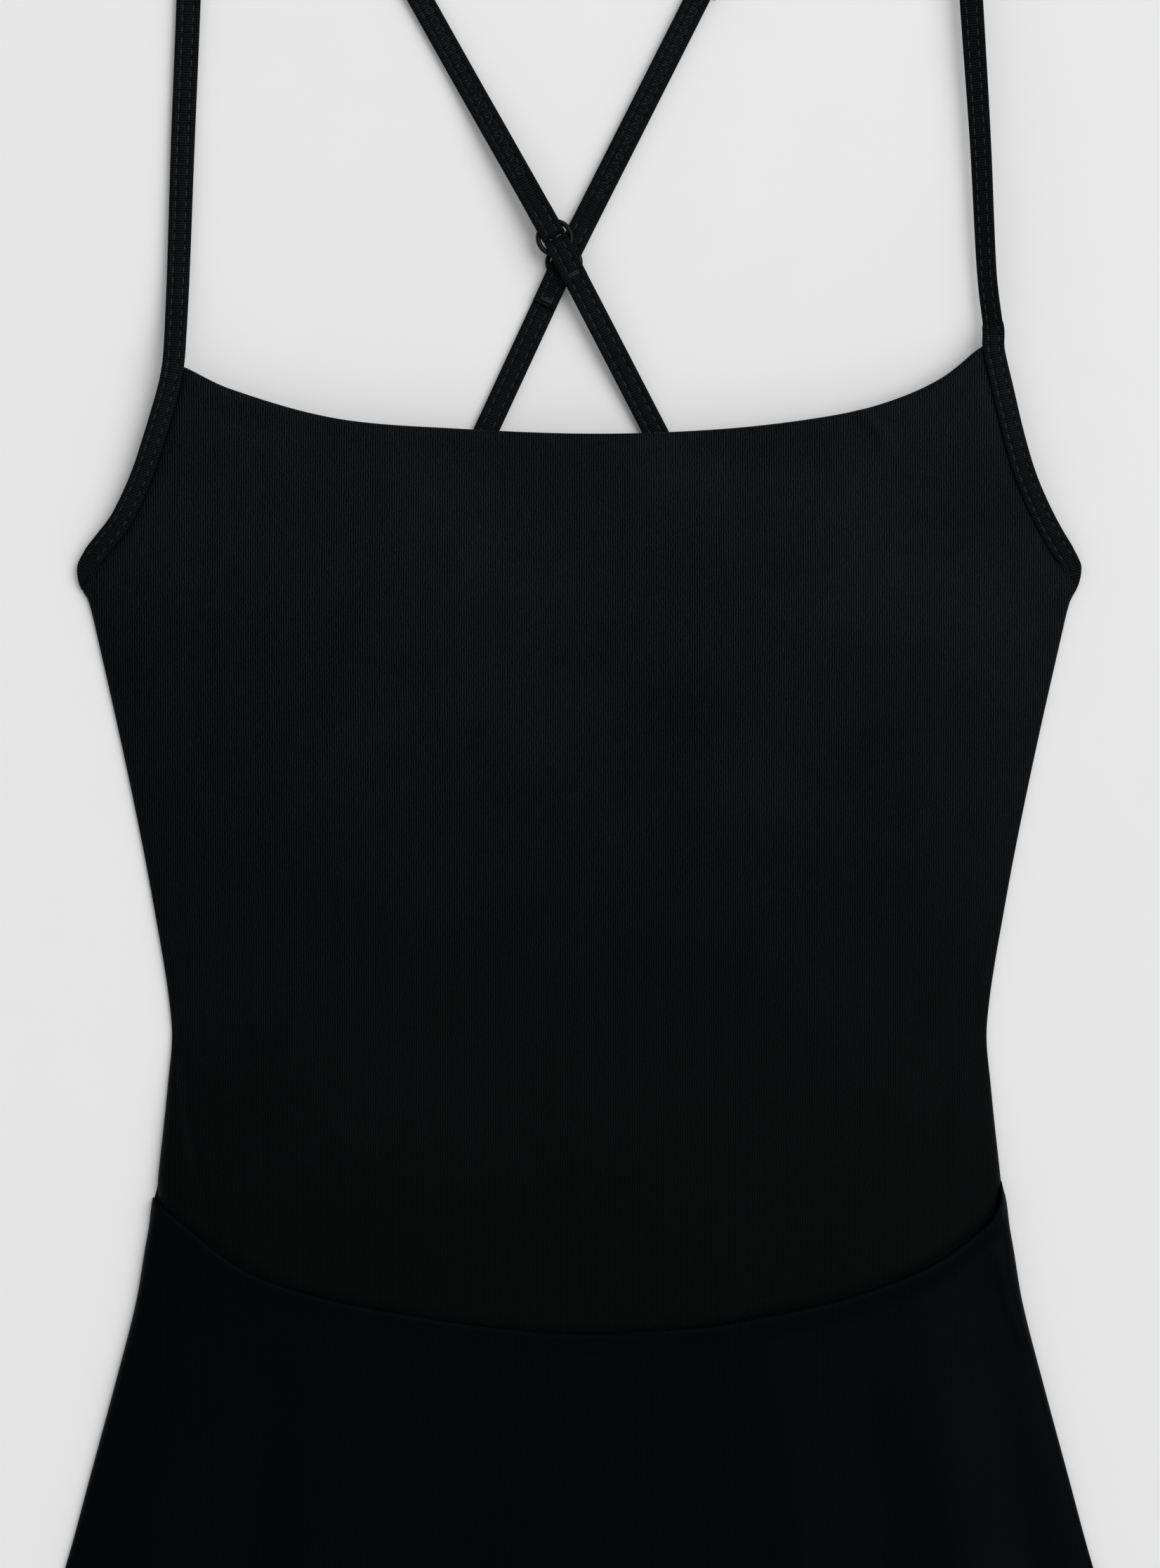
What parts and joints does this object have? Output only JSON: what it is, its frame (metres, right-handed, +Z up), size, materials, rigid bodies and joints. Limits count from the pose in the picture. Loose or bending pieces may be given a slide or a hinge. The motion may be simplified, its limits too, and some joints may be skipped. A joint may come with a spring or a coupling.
{
  "type": "skirted gymnastics leotard",
  "caption": "Black skirted leotard with a square low neck, built-in bra, thin binding straps that cross over an open back and adjust with rings and sliders, and a flared skirt over a brief.",
  "frame": {"origin": "on the table under the centre of the back waist, on the flat underside of the back bodice", "axes": "+Y from the hem to the shoulders, +Z up from the table through the front, +X to the right as the front is seen"},
  "size_m": [0.446, 0.9003, 0.0198],
  "materials": {
    "bodice_knit": "matt",
    "skirt_knit": "matt",
    "lining_knit": "matt",
    "binding_elastic": "matt",
    "cup_foam": "matt",
    "enamelled_metal": "gloss",
    "label_satin": "satin"
  },
  "bodies": {
    "garment": {"front_bodice": "bodice_knit", "back_bodice": "bodice_knit", "brief_front": "bodice_knit", "brief_back": "bodice_knit", "skirt_front": "skirt_knit", "skirt_back": "skirt_knit", "bra_lining_front": "lining_knit", "bra_lining_back": "lining_knit", "gusset_lining": "lining_knit", "bust_cup_left": "cup_foam", "bust_cup_right": "cup_foam", "bra_band_front": "binding_elastic", "bra_band_back": "binding_elastic", "neckline_elastic": "binding_elastic", "waist_elastic_front": "binding_elastic", "waist_elastic_back": "binding_elastic", "care_label": "label_satin", "back_edge_binding": "binding_elastic", "armhole_binding_left": "binding_elastic", "front_strap_left": "binding_elastic", "back_strap_upper_left": "binding_elastic", "back_strap_lower_left": "binding_elastic", "strap_tail_left": "binding_elastic", "leg_elastic_front_left": "binding_elastic", "leg_elastic_back_left": "binding_elastic", "armhole_binding_right": "binding_elastic", "front_strap_right": "binding_elastic", "back_strap_upper_right": "binding_elastic", "back_strap_lower_right": "binding_elastic", "strap_tail_right": "binding_elastic", "leg_elastic_front_right": "binding_elastic", "leg_elastic_back_right": "binding_elastic"},
    "ring_left": {"ring_left": "enamelled_metal"},
    "ring_right": {"ring_right": "enamelled_metal"},
    "slider_left": {"slider_left": "enamelled_metal"},
    "slider_right": {"slider_right": "enamelled_metal"}
  },
  "joints": [
    {"name": "ring_left_spin", "type": "hinge", "parent": "garment", "child": "ring_left", "pos_m": [-0.00875, 0.34025, 0.0071], "axis": [0, 0, 1], "continuous": true},
    {"name": "slider_left_slide", "type": "slide", "parent": "garment", "child": "slider_left", "axis": [-0.4883, 0.8727, 0], "range_m": [-0.08, 0.055], "deforming": ["strap_tail_left"]},
    {"name": "ring_right_spin", "type": "hinge", "parent": "garment", "child": "ring_right", "pos_m": [-0.0055, 0.332, 0.0024], "axis": [0, 0, 1], "continuous": true},
    {"name": "slider_right_slide", "type": "slide", "parent": "garment", "child": "slider_right", "axis": [0.4512, 0.8924, 0], "range_m": [-0.05, 0.095], "deforming": ["strap_tail_right"]}
  ]
}
